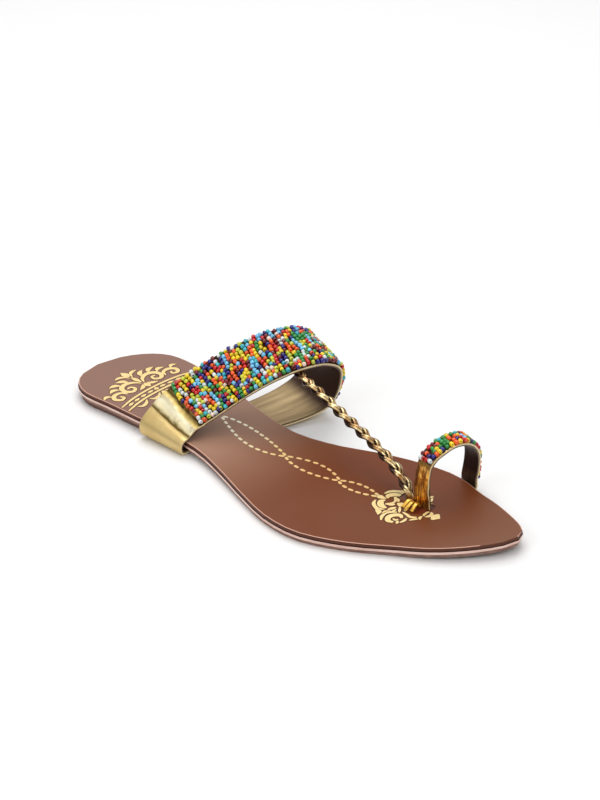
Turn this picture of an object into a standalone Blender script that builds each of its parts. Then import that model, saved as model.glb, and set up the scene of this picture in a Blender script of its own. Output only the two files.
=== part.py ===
# Right flat toe-ring sandal: layered leather sole, one wide instep strap with a bead layer,
# a braided cord along the foot, and a beaded leather ring for the big toe.
# Metres, +Z up, toe towards -Y, big-toe side towards +X, standing on Z = 0,
# with the origin under the middle of the whole sandal's box.

import math

import bmesh
import bpy
from mathutils import Matrix, Vector

DATUM_X = -0.0037         # the sole's own middle line, so that the whole box is centred

# Sole: plan
SOLE_LENGTH = 0.255
HEEL_WIDTH = 0.0565
WAIST_WIDTH = 0.0452
BALL_WIDTH = 0.0815
HEEL_CAP = 0.024         # length of the round back of the heel
TOE_CAP = 0.030          # length of the rounded tip of the toe

# Sole: side view
INSOLE_THICK = 0.0015
MIDSOLE_THICK = 0.0012
OUTSOLE_THICK = 0.0017
LIFT_THICK = 0.0022
HEEL_LIFT_LENGTH = 0.057
TOE_SPRING = 0.003
HEEL_RISE_START = 0.1625  # from the back of the heel, where the outsole leaves the floor
HEEL_RISE_END = 0.0425
SPRING_START = 0.1975
MIDSOLE_PROUD = 0.0003
OUTSOLE_INSET = 0.0006
LIFT_INSET = 0.0012
EDGE_ROUND = 0.0005
EDGE_STEP = 0.0005        # distance over which the edge's direction is read
LOOP_POINTS = 44          # along each side of a sole layer
LOOP_EVENNESS = 0.35      # 0 packs the loop's points at both ends, 1 spaces them evenly

CLEARANCE = 0.0003        # between pieces that touch
EDGE_BEVEL = 0.0003       # on the cut edges of a leather strip
BEAD_BEVEL = 0.0005

# Instep strap
STRAP_WIDTH = 0.0278
STRAP_WALL = 0.0016
STRAP_FROM_HEEL = 0.076   # middle of the outer foot of the strap
STRAP_LEAN = 0.032        # how far forward the top lies of that foot
STRAP_INNER_LEAN = 0.49   # share of that at which the inner foot lies
STRAP_RISE = 0.0378
STRAP_BULGE = 0.0305      # how far the inner side stands out past the sole
BEAD_LAYER = 0.0018
BEAD_FRONT_MARGIN = 0.0009
STRAP_BEADS_FROM = 0.20   # share of the strap's length, from its outer foot
STRAP_BEADS_TO = 0.80

# Toe ring
RING_WIDTH = 0.009
RING_WALL = 0.0016
RING_FROM_HEEL = 0.2055
RING_RISE = 0.0268        # over the insole
RING_POST_X = 0.0074
RING_BEAD_LAYER = 0.0018
RING_BEADS_FROM = 0.265
RING_BEADS_TO = 0.86
NOTCH_REACH = 0.04        # of the cutters for the strap ends, out past the sole's edge

SLOT_WIDTH = 0.0056
SLOT_LENGTH = 0.0182
SLOT_OFFSET = 0.0009      # towards the inner side of the post

# Braided cord
CORD_WIDTH = 0.0058
CORD_PITCH = 0.025        # length in which each strand comes round once
CORD_AT = 0.512           # share of the strap's length where the cord leaves it
CORD_END = 0.008          # length of the cord held under the strap
CORD_TAPER = 0.006        # length over which it narrows into the slot
CORD_TAPER_TO = 0.72      # share of its width that is left there
CORD_SECTIONS = 15        # in one pitch
CORD_SIDES = 14
STRANDS = 3
STRAND_RADIUS = 0.27      # of a strand, as a share of the cord's width
STRAND_CORE = 0.30        # least radius of the cord, as a share of its width
STRAND_FLATNESS = 0.75    # how high the strands climb over each other, against a full turn

# Folded tab beside the ring's post
TAB_WIDTH = 0.0046
TAB_WALL = 0.001
TAB_BACK = 0.22           # share of the ring's width by which it lies behind the post
TAB_BEVEL = 0.0002

# Widths as shares of heel, waist and ball; swing is the centre line's share of the ball.
SOLE_COLUMNS = ("along", "heel", "waist", "ball", "swing")
SOLE_ROWS = (
    (0.00, 0.50, 0.00, 0.000, -0.060),
    (0.05, 0.50, 0.00, 0.000, -0.022),
    (0.12, 0.50, 0.00, 0.000, 0.000),
    (0.21, 0.36, 0.14, 0.000, -0.012),
    (0.30, 0.20, 0.29, 0.000, -0.030),
    (0.39, 0.00, 0.50, 0.000, -0.067),
    (0.47, 0.00, 0.30, 0.135, -0.109),
    (0.55, 0.00, 0.00, 0.374, -0.119),
    (0.63, 0.00, 0.00, 0.463, -0.098),
    (0.705, 0.00, 0.00, 0.500, -0.063),
    (0.785, 0.00, 0.00, 0.465, 0.002),
    (0.863, 0.00, 0.00, 0.355, 0.046),
    (0.94, 0.00, 0.00, 0.262, 0.096),
    (1.00, 0.00, 0.00, 0.202, 0.160),
)

# across: 0 at the sole's outer edge, 1 at its inner edge; bulge, ahead and rise are shares
# of STRAP_BULGE, STRAP_LEAN and STRAP_RISE; swing and drop say how far the front edge
# lies to the outside of and under the rear edge, as shares of the width.
BAND_COLUMNS = ("across", "bulge", "ahead", "rise", "swing", "drop")
STRAP_ROWS = (
    (0.190, 0.00, 0.000, 0.000, -0.04, 0.025),
    (0.060, 0.00, 0.000, -0.002, -0.04, 0.025),
    (-0.020, 0.00, 0.000, -0.030, -0.04, 0.03),
    (-0.068, 0.00, 0.000, -0.016, -0.04, 0.04),
    (-0.085, 0.00, 0.000, 0.040, -0.04, 0.06),
    (-0.075, 0.00, 0.005, 0.120, -0.03, 0.10),
    (0.030, 0.00, 0.025, 0.225, -0.01, 0.19),
    (0.180, 0.00, 0.070, 0.345, 0.04, 0.28),
    (0.360, 0.00, 0.160, 0.460, 0.10, 0.36),
    (0.550, 0.00, 0.310, 0.610, 0.17, 0.40),
    (0.730, 0.00, 0.520, 0.785, 0.23, 0.41),
    (0.920, 0.00, 0.740, 0.930, 0.27, 0.38),
    (1.000, 0.24, 0.910, 1.000, 0.27, 0.33),
    (1.000, 0.63, 1.000, 0.955, 0.22, 0.28),
    (1.000, 0.92, 1.000, 0.790, 0.18, 0.26),
    (1.000, 1.00, 0.920, 0.545, 0.16, 0.26),
    (1.000, 0.985, 0.810, 0.300, 0.15, 0.25),
    (1.000, 0.88, 0.740, 0.155, 0.15, 0.19),
    (1.000, 0.64, 0.655, 0.070, 0.17, 0.13),
    (1.000, 0.377, 0.570, 0.024, 0.20, 0.07),
    (1.000, 0.105, 0.490, 0.000, 0.24, 0.03),
    (0.840, 0.00, 0.430, 0.000, 0.24, 0.03),
)

# across: 0 at the post, 1 at the sole's inner edge; ahead is a share of the ring's width,
# bulge of its wall, and rise of RING_RISE over the insole.
RING_ROWS = (
    (0.000, 0.0, 0.000, -0.055, -0.08, 0.00),
    (0.000, 0.0, 0.000, 0.02, -0.06, -0.04),
    (0.010, 0.0, -0.040, 0.29, 0.10, -0.04),
    (0.030, 0.0, -0.070, 0.55, 0.20, 0.00),
    (0.080, 0.0, -0.060, 0.75, 0.22, 0.02),
    (0.165, 0.0, 0.000, 0.87, 0.18, 0.06),
    (0.300, 0.0, 0.110, 0.95, 0.16, 0.10),
    (0.480, 0.0, 0.200, 1.00, 0.16, 0.14),
    (0.690, 0.0, 0.280, 0.965, 0.14, 0.18),
    (0.880, 0.0, 0.270, 0.82, 0.12, 0.17),
    (1.000, 0.1, 0.190, 0.61, 0.08, 0.14),
    (1.000, 1.1, 0.080, 0.40, 0.06, 0.10),
    (1.000, 1.3, -0.010, 0.20, 0.04, 0.05),
    (1.000, 0.95, -0.050, 0.03, 0.05, 0.00),
    (1.000, 1.00, -0.050, -0.085, 0.06, 0.00),
    (1.000, 0.78, -0.050, -0.134, 0.06, 0.00),
    (1.000, -0.50, -0.050, -0.152, 0.06, 0.00),
    (0.800, 0.0, -0.050, -0.152, 0.06, 0.00),
)

# Braided cord's route from the strap to the post, beside and along the sole's middle line.
CORD_COLUMNS = ("beside", "from_heel", "height")
CORD_POINTS = (
    (0.0191, 0.1287, 0.0312),
    (0.0176, 0.1397, 0.0286),
    (0.0161, 0.1505, 0.0260),
    (0.0147, 0.1612, 0.0234),
    (0.0133, 0.1717, 0.0207),
    (0.0119, 0.1815, 0.0175),
    (0.0107, 0.1884, 0.0143),
    (0.0098, 0.1935, 0.0106),
    (0.0091, 0.1966, 0.0074),
    (0.0088, 0.1977, 0.0042),
)

# Folded tab: distance to the outside of the post, height over the insole.
TAB_COLUMNS = ("out", "height")
TAB_ROWS = (
    (0.0021, 0.0009),
    (0.0029, 0.0022),
    (0.0045, 0.0027),
    (0.0065, 0.0020),
    (0.0086, 0.0009),
)


def hermite(xs, ys, x):
    """Smooth curve through points, with slopes that do not overshoot flat stretches."""
    last = len(xs) - 1
    k = max(0, min(last - 1, sum(1 for value in xs if value <= x) - 1))
    step = [(ys[i + 1] - ys[i]) / (xs[i + 1] - xs[i]) for i in range(last)]

    def slope(i):
        if i == 0 or i == last:
            return step[0] if i == 0 else step[-1]
        before, after = xs[i] - xs[i - 1], xs[i + 1] - xs[i]
        return (step[i - 1] * after + step[i] * before) / (before + after)

    width = xs[k + 1] - xs[k]
    u = (x - xs[k]) / width
    return (
        ys[k] * (1 + 2 * u) * (1 - u) ** 2
        + slope(k) * width * u * (1 - u) ** 2
        + ys[k + 1] * u * u * (3 - 2 * u)
        + slope(k + 1) * width * u * u * (u - 1)
    )


def column(rows, columns, name):
    return [row[columns.index(name)] for row in rows]


def y_at(from_heel):
    return SOLE_LENGTH / 2 - from_heel


def sole_shape(along):
    """Centre line and half width of the sole at a share of its length."""
    values = {
        name: hermite(column(SOLE_ROWS, SOLE_COLUMNS, "along"),
                      column(SOLE_ROWS, SOLE_COLUMNS, name), along)
        for name in SOLE_COLUMNS[1:]
    }
    half = (values["heel"] * HEEL_WIDTH + values["waist"] * WAIST_WIDTH
            + values["ball"] * BALL_WIDTH)
    heel_cap = min(1.0, along * SOLE_LENGTH / HEEL_CAP)
    toe_cap = min(1.0, (1 - along) * SOLE_LENGTH / TOE_CAP)
    for cap in (heel_cap, toe_cap):
        half *= math.sqrt(max(0.0, 1 - (1 - cap) ** 2))
    return DATUM_X + values["swing"] * BALL_WIDTH, half


def edge_x(from_heel, side):
    """The sole's edge: side 1 is the inner edge, -1 the outer one."""
    centre, half = sole_shape(from_heel / SOLE_LENGTH)
    return centre + side * half


def bottom_height(from_heel):
    """Underside of the outsole: on the floor at the ball, up on the lift, sprung at the toe."""
    rise = (HEEL_RISE_START - from_heel) / (HEEL_RISE_START - HEEL_RISE_END)
    rise = max(0.0, min(1.0, rise))
    spring = (from_heel - SPRING_START) / (SOLE_LENGTH - SPRING_START)
    spring = max(0.0, spring)
    heel_height = LIFT_THICK + CLEARANCE
    return heel_height * rise * rise * (3 - 2 * rise) + TOE_SPRING * spring ** 2


def layer_height(layer):
    """Height over the outsole's underside of: outsole, midsole or insole, bottom and top."""
    bottom = 0.0
    for name, thick in (("outsole", OUTSOLE_THICK), ("midsole", MIDSOLE_THICK),
                        ("insole", INSOLE_THICK)):
        if name == layer:
            return bottom, bottom + thick
        bottom += thick + CLEARANCE
    return bottom, bottom


def insole_top(from_heel):
    return bottom_height(from_heel) + layer_height("insole")[1]


def outline(start, end, count, inset):
    """Plan loop between two distances from the heel: inner side forward, outer side back."""
    shares = []
    for i in range(count + 1):
        swing = 0.5 - 0.5 * math.cos(math.pi * i / count)
        even = LOOP_EVENNESS * i / count + (1 - LOOP_EVENNESS) * swing
        shares.append(start + (end - start) * even)
    inner, outer = [], []
    for at in shares:
        for side, points in ((1, inner), (-1, outer)):
            here = Vector((edge_x(at, side), y_at(at)))
            low, high = max(0.0, at - EDGE_STEP), min(SOLE_LENGTH, at + EDGE_STEP)
            run = Vector((edge_x(high, side) - edge_x(low, side), y_at(high) - y_at(low)))
            run.normalize()
            outward = Vector((-run.y, run.x)) * side
            points.append(here - outward * inset)
    return inner, outer


def new_object(name, mesh, collection, colour, roughness, metallic=0.0):
    material = bpy.data.materials.new(name)
    material.use_nodes = True
    shader = material.node_tree.nodes["Principled BSDF"]
    shader.inputs["Base Color"].default_value = (*colour, 1.0)
    shader.inputs["Roughness"].default_value = roughness
    shader.inputs["Metallic"].default_value = metallic
    mesh.materials.append(material)
    piece = bpy.data.objects.new(name, mesh)
    collection.objects.link(piece)
    return piece


def sole_mesh(name, start, end, inset, rings):
    """A sole layer: closed loops at given insets and heights, closed by cross strips."""
    count = LOOP_POINTS
    mesh = bmesh.new()
    loops = []
    for extra, height in rings:
        inner, outer = outline(start, end, count, inset + extra)
        pointed = [start <= 0.0, end >= SOLE_LENGTH]
        row_inner, row_outer = [], []
        for i in range(count + 1):
            ends = (i == 0 and pointed[0]) or (i == count and pointed[1])
            at = SOLE_LENGTH / 2 - inner[i].y
            if ends:
                back = 1 if i == 0 else -1
                tip_x = (inner[i].x + outer[i].x) / 2
                tip_y = y_at(start if i == 0 else end) - back * (inset + extra)
                vert = mesh.verts.new((tip_x, tip_y, height(at)))
                row_inner.append(vert)
                row_outer.append(vert)
                continue
            for point, row in ((inner[i], row_inner), (outer[i], row_outer)):
                row.append(mesh.verts.new((point.x, point.y, height(y_at(point.y)))))
        loops.append((row_inner, row_outer))

    def face(*corners):
        unique = list(dict.fromkeys(corners))
        if len(unique) > 2:
            mesh.faces.new(unique)

    for (inner_a, outer_a), (inner_b, outer_b) in zip(loops, loops[1:]):
        for i in range(count):
            face(inner_a[i], inner_a[i + 1], inner_b[i + 1], inner_b[i])
            face(outer_a[i + 1], outer_a[i], outer_b[i], outer_b[i + 1])
        for i in (0, count):
            if inner_a[i] is not outer_a[i]:
                face(inner_a[i], outer_a[i], outer_b[i], inner_b[i])
    for inner_row, outer_row in (loops[0], loops[-1]):
        for i in range(count):
            face(inner_row[i], inner_row[i + 1], outer_row[i + 1], outer_row[i])
    bmesh.ops.recalc_face_normals(mesh, faces=mesh.faces)
    data = bpy.data.meshes.new(name)
    mesh.to_mesh(data)
    mesh.free()
    return data


def sole_layer(name, collection, inset, colour, roughness, rounded=0.0):
    low, high = layer_height(name)
    rings = [(0.0, lambda at: bottom_height(at) + low)]
    if rounded:
        rings.append((0.0, lambda at: bottom_height(at) + high - rounded))
        rings.append((0.3 * rounded, lambda at: bottom_height(at) + high - 0.3 * rounded))
    rings.append((rounded, lambda at: bottom_height(at) + high))
    data = sole_mesh(name, 0.0, SOLE_LENGTH, inset, rings)
    return new_object(name, data, collection, colour, roughness)


def heel_lift(collection):
    def top(at):
        return bottom_height(at) - CLEARANCE

    rings = [(EDGE_ROUND, lambda at: 0.0), (0.0, lambda at: EDGE_ROUND), (0.0, top)]
    data = sole_mesh("heel_lift", 0.0, HEEL_LIFT_LENGTH, LIFT_INSET, rings)
    return new_object("heel_lift", data, collection, (0.035, 0.016, 0.011), 0.6)


def post_x():
    return DATUM_X + RING_POST_X


def tab_level(from_heel):
    """Middle of a strap end that lies in the outsole's thickness."""
    return bottom_height(from_heel) + OUTSOLE_THICK / 2


def strap_stations():
    inner_foot = STRAP_FROM_HEEL + STRAP_INNER_LEAN * STRAP_LEAN
    outer, inner = edge_x(STRAP_FROM_HEEL, -1), edge_x(inner_foot, 1)
    stations = []
    for row in STRAP_ROWS:
        at = dict(zip(BAND_COLUMNS, row))
        share = max(0.0, min(1.0, at["across"]))
        level = tab_level(STRAP_FROM_HEEL) * (1 - share) + tab_level(inner_foot) * share
        x = outer + at["across"] * (inner - outer) + at["bulge"] * STRAP_BULGE
        y = y_at(STRAP_FROM_HEEL + at["ahead"] * STRAP_LEAN)
        z = level + at["rise"] * STRAP_RISE
        stations.append((Vector((x, y, z)), ruling(at["swing"], at["drop"])))
    return stations


def ring_stations():
    edge = edge_x(RING_FROM_HEEL, 1) + CLEARANCE + MIDSOLE_PROUD + RING_WALL / 2
    top = insole_top(RING_FROM_HEEL)
    stations = []
    for row in RING_ROWS:
        at = dict(zip(BAND_COLUMNS, row))
        x = post_x() + at["across"] * (edge - post_x()) + at["bulge"] * RING_WALL
        y = y_at(RING_FROM_HEEL + at["ahead"] * RING_WIDTH)
        z = top + at["rise"] * RING_RISE
        stations.append((Vector((x, y, z)), ruling(at["swing"], at["drop"])))
    return stations


def tab_stations():
    y = y_at(RING_FROM_HEEL - RING_WIDTH * TAB_BACK)
    top = insole_top(RING_FROM_HEEL)
    outs = column(TAB_ROWS, TAB_COLUMNS, "out")
    heights = column(TAB_ROWS, TAB_COLUMNS, "height")
    return [(Vector((post_x() - out, y, top + height)), ruling(0.1, 0.0))
            for out, height in zip(outs, heights)]


def ruling(swing, drop):
    """Direction from a band's rear edge to its front edge."""
    return Vector((-swing, -math.sqrt(1 - swing ** 2 - drop ** 2), -drop))


def along_band(stations, count, start=0.0, end=1.0):
    """Evenly spaced middle points, rulings and outward normals between two shares."""
    reach = [0.0]
    for (a, _), (b, _) in zip(stations, stations[1:]):
        reach.append(reach[-1] + (b - a).length)
    shares = [value / reach[-1] for value in reach]

    def place(at):
        point = Vector([hermite(shares, [s[0][k] for s in stations], at) for k in range(3)])
        rule = Vector([hermite(shares, [s[1][k] for s in stations], at) for k in range(3)])
        return point, rule.normalized()

    samples = []
    for i in range(count + 1):
        at = start + (end - start) * i / count
        point, rule = place(at)
        near = 0.004
        run = place(min(1.0, at + near))[0] - place(max(0.0, at - near))[0]
        samples.append((point, rule, rule.cross(run).normalized()))
    return samples


def band(name, collection, stations, count, rear, front, out, wall, colour,
         roughness, metallic, start=0.0, end=1.0, bevel=EDGE_BEVEL, across=4):
    """A strip along the stations, from rear to front (metres from the middle line),
    its middle surface lifted by out, thickened to its wall."""
    mesh = bmesh.new()
    rows = []
    for point, rule, normal in along_band(stations, count, start, end):
        row = []
        for j in range(across + 1):
            beside = rear + (front - rear) * j / across
            row.append(mesh.verts.new(point + rule * beside + normal * out))
        rows.append(row)
    for a, b in zip(rows, rows[1:]):
        for j in range(across):
            mesh.faces.new((a[j], b[j], b[j + 1], a[j + 1]))
    data = bpy.data.meshes.new(name)
    mesh.to_mesh(data)
    mesh.free()
    piece = new_object(name, data, collection, colour, roughness, metallic)
    shell = piece.modifiers.new("wall", "SOLIDIFY")
    shell.thickness = wall
    shell.offset = 0.0
    shell.use_even_offset = True
    if bevel:
        edge = piece.modifiers.new("edge", "BEVEL")
        edge.width = bevel
        edge.segments = 1
        edge.limit_method = "ANGLE"
        edge.angle_limit = math.radians(60)
        edge.use_clamp_overlap = True
    return piece


def as_cutter(piece):
    piece.hide_render = True
    piece.display_type = "WIRE"
    return piece


def cut(piece, cutter):
    hole = piece.modifiers.new("cut_" + cutter.name, "BOOLEAN")
    hole.operation = "DIFFERENCE"
    hole.solver = "EXACT"
    hole.object = cutter


def slot_cutter(cutters):
    """Rounded slot through the insole for the ring's post and the end of the cord."""
    bpy.ops.mesh.primitive_cube_add(size=1.0)
    piece = bpy.context.object
    piece.name = "post_slot"
    middle = y_at(RING_FROM_HEEL + RING_WIDTH / 2 + 3 * CLEARANCE - SLOT_LENGTH / 2)
    height = insole_top(RING_FROM_HEEL)
    place = Matrix.Translation((post_x() + SLOT_OFFSET, middle, height))
    size = Matrix.Diagonal((SLOT_WIDTH, SLOT_LENGTH, 2 * (INSOLE_THICK + CLEARANCE), 1.0))
    piece.data.transform(place @ size)
    for home in piece.users_collection:
        home.objects.unlink(piece)
    cutters.objects.link(piece)
    corners = piece.modifiers.new("corners", "BEVEL")
    corners.width = SLOT_WIDTH * 0.3
    corners.segments = 3
    corners.limit_method = "ANGLE"
    return as_cutter(piece)


def strand_reach(angle, phase):
    """Outer radius of three plaited strands, seen from the cord's middle line."""
    strand = CORD_WIDTH * STRAND_RADIUS
    reach = CORD_WIDTH * STRAND_CORE
    for k in range(STRANDS):
        turn = phase + 2 * math.pi * k / STRANDS
        x = (CORD_WIDTH / 2 - strand) * math.cos(turn)
        z = (CORD_WIDTH / 2 - strand) * STRAND_FLATNESS * math.sin(2 * turn)
        forward = x * math.cos(angle) + z * math.sin(angle)
        beside = x * math.sin(angle) - z * math.cos(angle)
        if abs(beside) < strand:
            reach = max(reach, forward + math.sqrt(strand ** 2 - beside ** 2))
    return reach


def cord_route(strap):
    """Middle line of the cord: flat against the strap's underside, then down to the post."""
    point, rule, normal = along_band(strap, 1, CORD_AT, 1.0)[0]
    under = point - normal * (STRAP_WALL / 2 + CLEARANCE + CORD_WIDTH / 2)
    held = [under + rule * (STRAP_WIDTH / 2 - CORD_END), under + rule * STRAP_WIDTH / 2]
    free = [dict(zip(CORD_COLUMNS, row)) for row in CORD_POINTS]
    return held + [Vector((DATUM_X + at["beside"], y_at(at["from_heel"]), at["height"]))
                   for at in free]


def braided_cord(collection, strap):
    points = cord_route(strap)
    reach = [0.0]
    for a, b in zip(points, points[1:]):
        reach.append(reach[-1] + (b - a).length)
    sections = int(reach[-1] / CORD_PITCH * CORD_SECTIONS)
    mesh = bmesh.new()
    rows = []
    for i in range(sections + 1):
        at = reach[-1] * i / sections
        here, before, after = (
            Vector([hermite(reach, [p[k] for p in points], value) for k in range(3)])
            for value in (at, max(0.0, at - EDGE_STEP), min(reach[-1], at + EDGE_STEP))
        )
        run = (after - before).normalized()
        side = run.cross(Vector((0, 0, 1))).normalized()
        up = side.cross(run)
        phase = 2 * math.pi * at / CORD_PITCH
        taper = min(1.0, (reach[-1] - at) / CORD_TAPER)
        narrow = CORD_TAPER_TO + (1 - CORD_TAPER_TO) * taper
        row = []
        for j in range(CORD_SIDES):
            angle = 2 * math.pi * j / CORD_SIDES
            radius = strand_reach(angle, phase) * narrow
            row.append(mesh.verts.new(
                here + side * radius * math.cos(angle) + up * radius * math.sin(angle)))
        rows.append(row)
    for a, b in zip(rows, rows[1:]):
        for j in range(CORD_SIDES):
            k = (j + 1) % CORD_SIDES
            mesh.faces.new((a[j], a[k], b[k], b[j]))
    mesh.faces.new(rows[0])
    mesh.faces.new(rows[-1])
    bmesh.ops.recalc_face_normals(mesh, faces=mesh.faces)
    data = bpy.data.meshes.new("braided_cord")
    mesh.to_mesh(data)
    mesh.free()
    return new_object("braided_cord", data, collection, (0.45, 0.29, 0.11), 0.35, 0.7)


def notch(name, cutters, stations, inner, outer, width, deep):
    """Room in the outsole's edge for a strap end, open to the side and right through."""
    end, rule = stations[inner]
    way = stations[outer][0] - end
    way.z = 0.0
    way.normalize()
    inner_face = end - way * CLEARANCE
    path = [(inner_face + way * NOTCH_REACH * share, rule) for share in (0.0, 0.5, 1.0)]
    piece = band(name, cutters, path, 2, -width / 2, width / 2, 0.0, deep,
                 (0.5, 0.5, 0.5), 0.5, 0.0, bevel=0.0, across=1)
    return as_cutter(piece)


def build():
    for piece in list(bpy.data.objects):
        bpy.data.objects.remove(piece, do_unlink=True)
    sandal = bpy.data.collections.new("toe_ring_sandal")
    cutters = bpy.data.collections.new("cutters")
    for collection in (sandal, cutters):
        bpy.context.scene.collection.children.link(collection)

    insole = sole_layer("insole", sandal, 0.0, (0.26, 0.11, 0.06), 0.35, EDGE_ROUND)
    sole_layer("midsole", sandal, -MIDSOLE_PROUD, (0.78, 0.50, 0.42), 0.5)
    outsole = sole_layer("outsole", sandal, OUTSOLE_INSET, (0.10, 0.05, 0.035), 0.6)
    heel_lift(sandal)

    strap = strap_stations()
    ring = ring_stations()
    gold = (0.62, 0.45, 0.17)
    half = STRAP_WIDTH / 2
    band("instep_strap", sandal, strap, 64, -half, half, 0.0, STRAP_WALL, gold, 0.32, 0.8)
    lift = (STRAP_WALL + BEAD_LAYER) / 2 + CLEARANCE
    band("strap_beads", sandal, strap, 40, -half, half - BEAD_FRONT_MARGIN, lift,
         BEAD_LAYER, (0.65, 0.28, 0.10), 0.25, 0.0,
         STRAP_BEADS_FROM, STRAP_BEADS_TO, bevel=BEAD_BEVEL)

    half = RING_WIDTH / 2
    band("toe_ring", sandal, ring, 44, -half, half, 0.0, RING_WALL, gold, 0.35, 0.8,
         across=2)
    lift = (RING_WALL + RING_BEAD_LAYER) / 2 + CLEARANCE
    band("ring_beads", sandal, ring, 26, -half, half - BEAD_FRONT_MARGIN, lift,
         RING_BEAD_LAYER, (0.15, 0.45, 0.40), 0.25, 0.0,
         RING_BEADS_FROM, RING_BEADS_TO, bevel=BEAD_BEVEL, across=2)
    braided_cord(sandal, strap)
    band("cord_tab", sandal, tab_stations(), 12, -TAB_WIDTH / 2, TAB_WIDTH / 2, 0.0,
         TAB_WALL, gold, 0.35, 0.8, bevel=TAB_BEVEL, across=2)

    cut(insole, slot_cutter(cutters))
    room = 3 * CLEARANCE
    deep = 3 * OUTSOLE_THICK
    for name, stations, inner, outer, width in (
            ("strap_notch_outer", strap, 0, 1, STRAP_WIDTH),
            ("strap_notch_inner", strap, len(strap) - 1, len(strap) - 2, STRAP_WIDTH),
            ("ring_notch", ring, len(ring) - 1, len(ring) - 2, RING_WIDTH)):
        cutter = notch(name, cutters, stations, inner, outer, width + room, deep)
        cut(outsole, cutter)


build()
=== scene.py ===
# Right flat toe-ring sandal: leather and foil finishes, threaded glass beads, plaited cord
# and gold print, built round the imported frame. Metres, toe towards -Y, big-toe side +X.
import math
import random

import bmesh
import bpy
from mathutils import Matrix, Vector


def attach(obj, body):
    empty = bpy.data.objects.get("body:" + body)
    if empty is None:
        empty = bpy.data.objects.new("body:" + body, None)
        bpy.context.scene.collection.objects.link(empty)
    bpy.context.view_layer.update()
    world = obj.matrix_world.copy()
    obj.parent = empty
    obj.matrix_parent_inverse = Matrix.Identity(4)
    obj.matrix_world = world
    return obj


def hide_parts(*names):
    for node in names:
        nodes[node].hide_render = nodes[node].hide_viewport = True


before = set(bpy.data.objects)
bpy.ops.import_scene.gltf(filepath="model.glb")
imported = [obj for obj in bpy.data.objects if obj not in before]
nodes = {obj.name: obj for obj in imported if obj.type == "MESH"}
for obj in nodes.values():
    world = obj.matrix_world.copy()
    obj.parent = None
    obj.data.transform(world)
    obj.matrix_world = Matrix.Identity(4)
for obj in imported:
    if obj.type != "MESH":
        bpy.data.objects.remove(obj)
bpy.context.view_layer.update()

mm = 0.001


def say(stage):
    print("stage:", stage, flush=True)


def linear(red, green, blue):
    # picture values 0 to 255 as the linear colour that a shader takes
    return tuple(c / 255 / 12.92 if c < 10 else ((c / 255 + 0.055) / 1.055) ** 2.4
                 for c in (red, green, blue)) + (1.0,)


def deselectAll():
    if bpy.context.object and bpy.context.object.mode != "OBJECT":
        bpy.ops.object.mode_set(mode="OBJECT")
    bpy.ops.object.select_all(action="DESELECT")


def choose(piece):
    deselectAll()
    piece.select_set(True)
    bpy.context.view_layer.objects.active = piece


def applyModifiers(piece):
    choose(piece)
    for modifier in list(piece.modifiers):
        bpy.ops.object.modifier_apply(modifier=modifier.name)


def newPiece(name, mesh):
    piece = bpy.data.objects.new(name, mesh)
    bpy.context.scene.collection.objects.link(piece)
    choose(piece)
    return piece


def editWhole(piece, operator, **settings):
    choose(piece)
    bpy.ops.object.mode_set(mode="EDIT")
    bpy.ops.mesh.select_all(action="SELECT")
    operator(**settings)
    bpy.ops.object.mode_set(mode="OBJECT")


def smooth(piece, angle):
    choose(piece)
    bpy.ops.object.shade_smooth_by_angle(angle=math.radians(angle))


def finishPiece(piece, slot, *materials):
    for material in materials:
        piece.data.materials.append(material)
    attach(piece, "root")


# Smooth curve through points, the one that the sandal's bands were drawn with
def through(xs, ys, x):
    last = len(xs) - 1
    k = max(0, min(last - 1, sum(1 for value in xs if value <= x) - 1))
    step = [(ys[i + 1] - ys[i]) / (xs[i + 1] - xs[i]) for i in range(last)]

    def slope(i):
        if i == 0 or i == last:
            return step[0] if i == 0 else step[-1]
        before, after = xs[i] - xs[i - 1], xs[i + 1] - xs[i]
        return (step[i - 1] * after + step[i] * before) / (before + after)

    width = xs[k + 1] - xs[k]
    u = (x - xs[k]) / width
    return (ys[k] * (1 + 2 * u) * (1 - u) ** 2 + slope(k) * width * u * (1 - u) ** 2
            + ys[k + 1] * u * u * (3 - 2 * u) + slope(k + 1) * width * u * u * (u - 1))


def runLengths(points):
    reach = [0.0]
    for a, b in zip(points, points[1:]):
        reach.append(reach[-1] + math.dist(a, b))
    return reach


def pointAt(reach, points, at):
    return [through(reach, column, at) for column in zip(*points)]


def fillRamp(colourRamp, stops):
    elements = colourRamp.elements
    for element, (place, colour) in ((elements[0], stops[0]), (elements[-1], stops[-1])):
        element.position, element.color = place, colour
    for place, colour in stops[1:-1]:
        elements.new(place).color = colour


def hump(x, middle, width):
    return math.exp(-((x - middle) / width) ** 2)


def ramp(x, low, high):
    t = max(0.0, min(1.0, (x - low) / (high - low)))
    return t * t * (3 - 2 * t)


# A leather band: its middle line, the ruling from rear edge to front edge, and outward
class Band:
    def __init__(self, stations):
        self.points, self.rules = zip(*stations)
        reach = runLengths(self.points)
        self.length = reach[-1]
        self.shares = [value / reach[-1] for value in reach]

    def line(self, at):
        point, rule = (pointAt(self.shares, rows, at) for rows in (self.points, self.rules))
        return Vector(point), Vector(rule).normalized()

    def frameAt(self, at):
        near = 0.004
        point, rule = self.line(at)
        run = self.line(min(1.0, at + near))[0] - self.line(max(0.0, at - near))[0]
        out = rule.cross(run).normalized()
        return point, rule, out

    def place(self, at, beside, lift):
        point, rule, out = self.frameAt(at)
        return point + rule * beside + out * lift


def ruling(swing, drop):
    return Vector((-swing, -math.sqrt(1 - swing ** 2 - drop ** 2), -drop))


sole = {"length": 0.255, "middleX": -3.7 * mm}


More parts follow.
